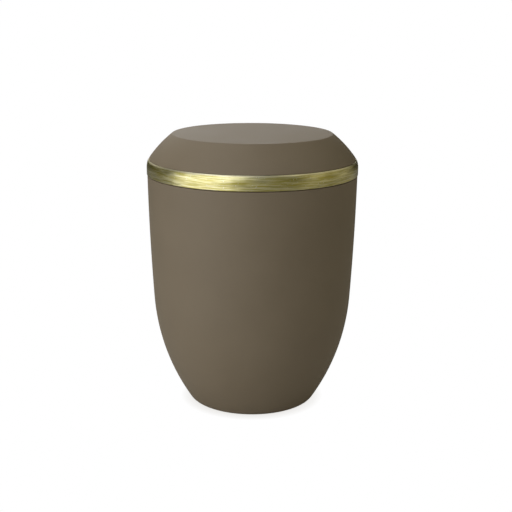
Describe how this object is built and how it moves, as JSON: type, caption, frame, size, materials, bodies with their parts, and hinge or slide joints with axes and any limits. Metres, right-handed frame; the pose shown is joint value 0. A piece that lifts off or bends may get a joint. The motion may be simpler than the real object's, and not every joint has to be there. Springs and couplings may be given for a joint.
{
  "type": "cremation urn",
  "caption": "Hollow round cremation urn with a tapering body, a broad flat-topped lift-off lid and a thin gold band round the lid's lower edge.",
  "frame": {"origin": "middle of the urn's underside, on the plane of its standing ring", "axes": "+Z along the urn's axis of revolution, from the foot up to the flat top of the lid"},
  "size_m": [0.19, 0.19, 0.248],
  "materials": {
    "vessel_lacquer": "matt taupe lacquer with a soft satin sheen",
    "lid_lacquer": "matt taupe lacquer with a soft satin sheen",
    "gold_strip": "brushed pale gold"
  },
  "bodies": {
    "root": {"vessel": "vessel_lacquer", "lid": "lid_lacquer", "gold_band": "gold_strip"}
  },
  "joints": []
}
